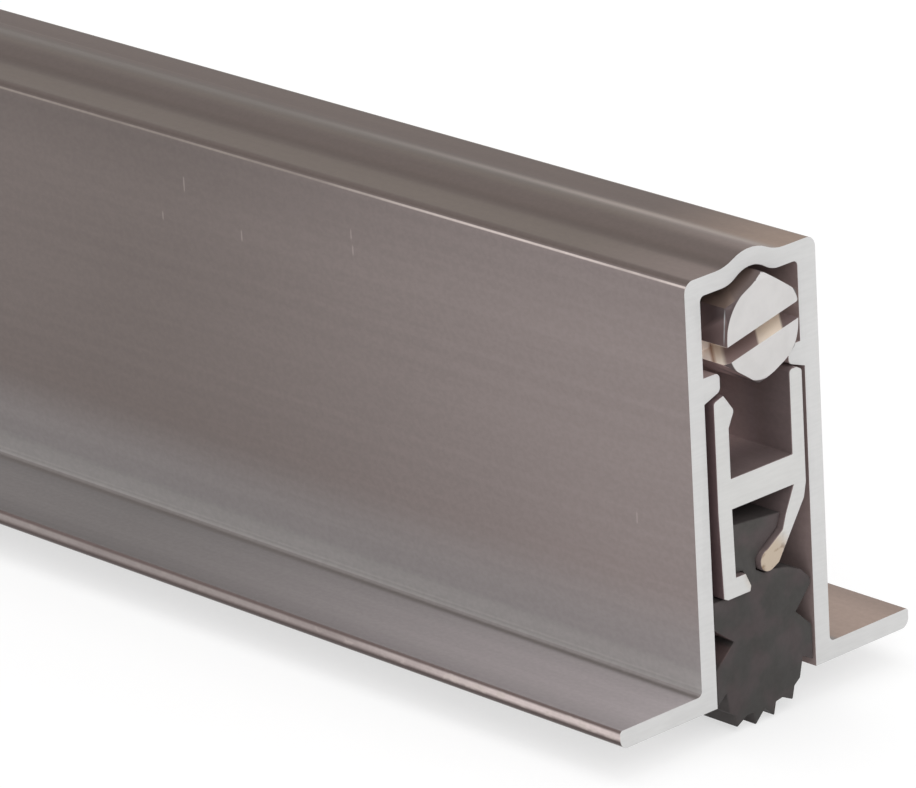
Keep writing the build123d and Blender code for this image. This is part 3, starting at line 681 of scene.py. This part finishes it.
def rubber_material():
    """Soft black rubber: mottled on its cut ends, with painted light that makes its head paler and lifts its
    sides and the notch of its side, the notch to a reddish tone.
    """
    n = Nodes("seal_rubber")
    grain = n.noise(RUBBER_GRAIN, detail=4)
    clouds = n.noise(RUBBER_CLOUDS)
    drawn = n.noise(RUBBER_LINES)
    mottle = n.noise(RUBBER_MOTTLE, detail=2)
    face = n.mix(n.ramp(mottle, MOTTLE_SPAN), RUBBER_GREY, RUBBER_MAUVE)
    # Painted light: paler toward the head
    face = n.scale_colour(face, n.fade(n.z, HEAD_HEIGHTS, SOLE_SHADE, HEAD_SHADE))
    # Painted light: the sides and their notch are lifted against their shade, the notch reddish
    in_notch = n.times(n.stripe(n.z, NOTCH_HEIGHTS, NOTCH_SOFT), n.fade(n.y, NOTCH_WIDTHS))
    side = n.mix(in_notch, RUBBER_SIDE, RUBBER_NOTCH)
    colour = n.mix(cut_end(n), side, face)
    colour = n.scale_colour(colour, n.shade(clouds, RUBBER_CLOUD_SPREAD))
    colour = n.scale_colour(colour, n.shade(grain, RUBBER_GRAIN_SPREAD))
    height = n.blend_values(cut_end(n), drawn, grain)
    roughness = n.ramp(clouds, NOISE_SPAN, 0.62, 0.8)
    return n.finish(colour, roughness, 0.0, n.bump(height, RUBBER_BUMP, RUBBER_BUMP_STRENGTH))


def plastic_material():
    """Dark plastic of the guide bush, slightly clouded."""
    n = Nodes("bush_plastic")
    grain = n.noise(BUSH_GRAIN)
    clouds = n.noise(TOOL_CLOUDS, detail=2)
    colour = n.scale_colour(n.plain(BUSH_DARK), n.shade(clouds, 0.12))
    roughness = n.ramp(grain, NOISE_SPAN, 0.42, 0.55)
    return n.finish(colour, roughness, 0.0, n.bump(grain, BUSH_BUMP, BUSH_BUMP_STRENGTH))


FINISHES = {
    "housing_aluminium": housing_finish(),
    "bar_aluminium": bar_finish(),
    "seal_rubber": rubber_material(),
    "screw_steel": screw_finish(),
    "rod_steel": plain_metal("rod_steel", (0.62, 0.61, 0.60), 0.3, stretch=(40, 2500, 2500)),
    "pin_steel": plain_metal("pin_steel", (0.66, 0.65, 0.64), 0.35),
    "spring_steel": plain_metal("spring_steel", (0.36, 0.37, 0.41), 0.3, stretch=(30, 2500, 2500)),
    "block_zinc": plain_metal("block_zinc", (0.62, 0.62, 0.635), 0.55, spread=0.12),
    "socket_brass": plain_metal("socket_brass", (0.80, 0.66, 0.40), 0.3, stretch=(4000, 300, 300)),
    "bush_plastic": plastic_material(),
}

slot_of = {part["node"]: part["material_slot"] for part in frame["record"]["subparts"]}


def dress(obj, name):
    """Give a piece the finish of the record's slot that its node has."""
    obj.data.materials.clear()
    obj.data.materials.append(FINISHES[slot_of[name]])


def softened(name, radius):
    """A copy of a CAD node whose hard edges are rounded, standing for the node on its own body."""
    source = frame["nodes"][name]
    mesh = source.data.copy()
    work = bmesh.new()
    work.from_mesh(mesh)
    bmesh.ops.remove_doubles(work, verts=work.verts, dist=SAME_POINT)
    bmesh.ops.dissolve_limit(
        work, angle_limit=FLAT_ANGLE, verts=work.verts, edges=work.edges, use_dissolve_boundaries=False
    )
    hard = [e for e in work.edges if len(e.link_faces) == 2 and e.calc_face_angle() > HARD_ANGLE]
    bmesh.ops.bevel(
        work, geom=hard, offset=radius, segments=2, profile=0.5, affect="EDGES", clamp_overlap=True
    )
    bmesh.ops.remove_doubles(work, verts=work.verts, dist=ROUNDED_POINT)
    bmesh.ops.dissolve_degenerate(work, dist=ROUNDED_POINT, edges=work.edges)
    work.to_mesh(mesh)
    work.free()
    piece = bpy.data.objects.new(f"{name}_rounded", mesh)
    bpy.context.scene.collection.objects.link(piece)
    dress(piece, name)
    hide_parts(name)
    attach(piece, source["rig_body"])
    return piece


for name, node in frame["nodes"].items():
    dress(node, name)
rounded = [softened(name, radius) for name, radius in BROKEN_EDGES.items()]


def spring_part(name, node_name, low_x, high_x):
    """A stretch of a flat spring, cut from its CAD node."""
    work = bmesh.new()
    work.from_mesh(frame["nodes"][node_name].data)
    bmesh.ops.remove_doubles(work, verts=work.verts, dist=SAME_POINT)
    steps = round((high_x - low_x) / SPRING_STEP)
    for number in range(1, steps):
        everything = work.verts[:] + work.edges[:] + work.faces[:]
        place = Vector((low_x + (high_x - low_x) * number / steps, 0, 0))
        bmesh.ops.bisect_plane(work, geom=everything, dist=DIVIDED_POINT, plane_co=place, plane_no=(1, 0, 0))
    for edge_x, direction in ((low_x, -1), (high_x, 1)):
        everything = work.verts[:] + work.edges[:] + work.faces[:]
        cut = bmesh.ops.bisect_plane(
            work, geom=everything, dist=DIVIDED_POINT, plane_co=(edge_x, 0, 0), plane_no=(direction, 0, 0),
            clear_outer=True
        )
        rim = [part for part in cut["geom_cut"] if isinstance(part, bmesh.types.BMEdge)]
        if rim:
            bmesh.ops.holes_fill(work, edges=rim, sides=0)
    bmesh.ops.dissolve_degenerate(work, dist=SAME_POINT, edges=work.edges)
    bmesh.ops.recalc_face_normals(work, faces=work.faces)
    mesh = bpy.data.meshes.new(name)
    work.to_mesh(mesh)
    work.free()
    piece = bpy.data.objects.new(name, mesh)
    bpy.context.scene.collection.objects.link(piece)
    dress(piece, node_name)
    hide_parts(node_name)
    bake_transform(piece)
    return piece


spring_parts = []
for number in (1, 2):
    spring = f"flat_spring_{number}"
    low_x, high_x = (corner.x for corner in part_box(spring))
    crown_x = (low_x + high_x) / 2
    fixed_x, moving_x = low_x + SPRING_GRIP, high_x - SPRING_GRIP
    quarter_x = (crown_x + moving_x) / 2
    spring_parts += [
        spring_part(f"{spring}_fixed_half", spring, low_x, crown_x),
        spring_part(f"{spring}_rising_part", spring, crown_x, quarter_x),
        spring_part(f"{spring}_moving_part", spring, quarter_x, high_x),
    ]

# Smooth shading, with sharp edges kept crisp
for piece in [*frame["nodes"].values(), *rounded, *spring_parts]:
    piece.data.shade_smooth()
    piece.data.set_sharp_from_angle(angle=CRISP_ANGLE)


def seen_directly(tree):
    """1 for rays from the camera, a reflection or a clear piece, and 0 for those that only carry light."""
    path = tree.nodes.new("ShaderNodeLightPath")
    seen = path.outputs["Is Camera Ray"]
    for kind in ("Is Glossy Ray", "Is Transmission Ray"):
        larger = tree.nodes.new("ShaderNodeMath")
        larger.operation = "MAXIMUM"
        tree.links.new(seen, larger.inputs[0])
        tree.links.new(path.outputs[kind], larger.inputs[1])
        seen = larger.outputs[0]
    return seen


def floor_paper():
    """Pale paper that looks white where it is seen, with the object's shadow on it."""
    n = Nodes("floor_paper")
    fibres = n.noise(PAPER_FIBRES, detail=2)
    colour = n.scale_colour(n.plain(FLOOR_COLOUR), n.shade(fibres, FLOOR_SPREAD))
    n.finish(colour, FLOOR_ROUGHNESS, 0.0)
    glow = n.add("ShaderNodeEmission")
    n.put(FLOOR_GLOW, glow.inputs["Strength"])
    shadowed = n.add("ShaderNodeBsdfDiffuse")
    n.put((FLOOR_SHADE, FLOOR_SHADE, FLOOR_SHADE, 1), shadowed.inputs["Color"])
    pale = n.add("ShaderNodeAddShader")
    n.put(glow.outputs[0], pale.inputs[0])
    n.put(shadowed.outputs[0], pale.inputs[1])
    choice = n.add("ShaderNodeMixShader")
    n.put(seen_directly(n.tree), choice.inputs[0])
    n.put(n.shader.outputs[0], choice.inputs[1])
    n.put(pale.outputs[0], choice.inputs[2])
    n.put(choice.outputs[0], n.tree.nodes["Material Output"].inputs["Surface"])
    return n.material


# Floor: a wide pale sheet that the seal's teeth stand on, at every place of the drop bar
bpy.ops.mesh.primitive_plane_add(size=FLOOR_SIZE, location=(0, 0, floor_z))
floor = bpy.context.object
floor.name = "studio_floor"
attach(floor, "drop_bar")
floor.data.materials.append(floor_paper())

# World: white where it is seen, softer as a light
world = bpy.data.worlds.new("studio_world")
bpy.context.scene.world = world
world.use_nodes = True
background = world.node_tree.nodes["Background"]
strength = world.node_tree.nodes.new("ShaderNodeMapRange")
world.node_tree.links.new(seen_directly(world.node_tree), strength.inputs[0])
strength.inputs["To Min"].default_value = WORLD_LIGHT
strength.inputs["To Max"].default_value = WORLD_SEEN
world.node_tree.links.new(strength.outputs[0], background.inputs["Strength"])
background.inputs["Color"].default_value = (1, 1, 1, 1)


def softbox(name, place, aim, size, watts):
    """A rectangular area light that faces a point."""
    data = bpy.data.lights.new(name, "AREA")
    data.shape = "RECTANGLE"
    data.size, data.size_y = size
    data.energy = watts
    lamp = bpy.data.objects.new(name, data)
    lamp.location = place
    lamp.rotation_mode = "QUATERNION"
    lamp.rotation_quaternion = (Vector(aim) - Vector(place)).to_track_quat("-Z", "Y")
    bpy.context.scene.collection.objects.link(lamp)


# Lamps: one before the cut end and one above
KEY_PLACE, KEY_AIM, KEY_SIZE = (end_x + 0.9, -0.35, 0.75), (end_x, 0, 0.01505), (0.9, 0.9)
TOP_PLACE, TOP_AIM, TOP_SIZE = (0.2, 0.1, 1.3), (0.2, 0, 0), (1.6, 0.9)
LAMP_WATTS = 5.0

softbox("key_softbox", KEY_PLACE, KEY_AIM, KEY_SIZE, LAMP_WATTS)
softbox("top_softbox", TOP_PLACE, TOP_AIM, TOP_SIZE, LAMP_WATTS)

# Camera
camera_data = bpy.data.cameras.new("camera")
camera_data.lens = LENS
camera_data.sensor_width = SENSOR_WIDTH
camera_data.sensor_fit = "HORIZONTAL"
camera_data.clip_start, camera_data.clip_end = NEAREST_SEEN, FARTHEST_SEEN
camera = bpy.data.objects.new("camera", camera_data)
bpy.context.scene.collection.objects.link(camera)
forward = (CAMERA_AIM - CAMERA_PLACE).normalized()
level_right = forward.cross(Vector((0, 0, 1))).normalized()
level_up = level_right.cross(forward)
right = math.cos(CAMERA_ROLL) * level_right + math.sin(CAMERA_ROLL) * level_up
up = math.cos(CAMERA_ROLL) * level_up - math.sin(CAMERA_ROLL) * level_right
turn = Matrix((right, up, -forward)).transposed()
camera.matrix_world = Matrix.Translation(CAMERA_PLACE) @ turn.to_4x4()
bpy.context.scene.camera = camera

bpy.context.scene.view_settings.view_transform = "Standard"
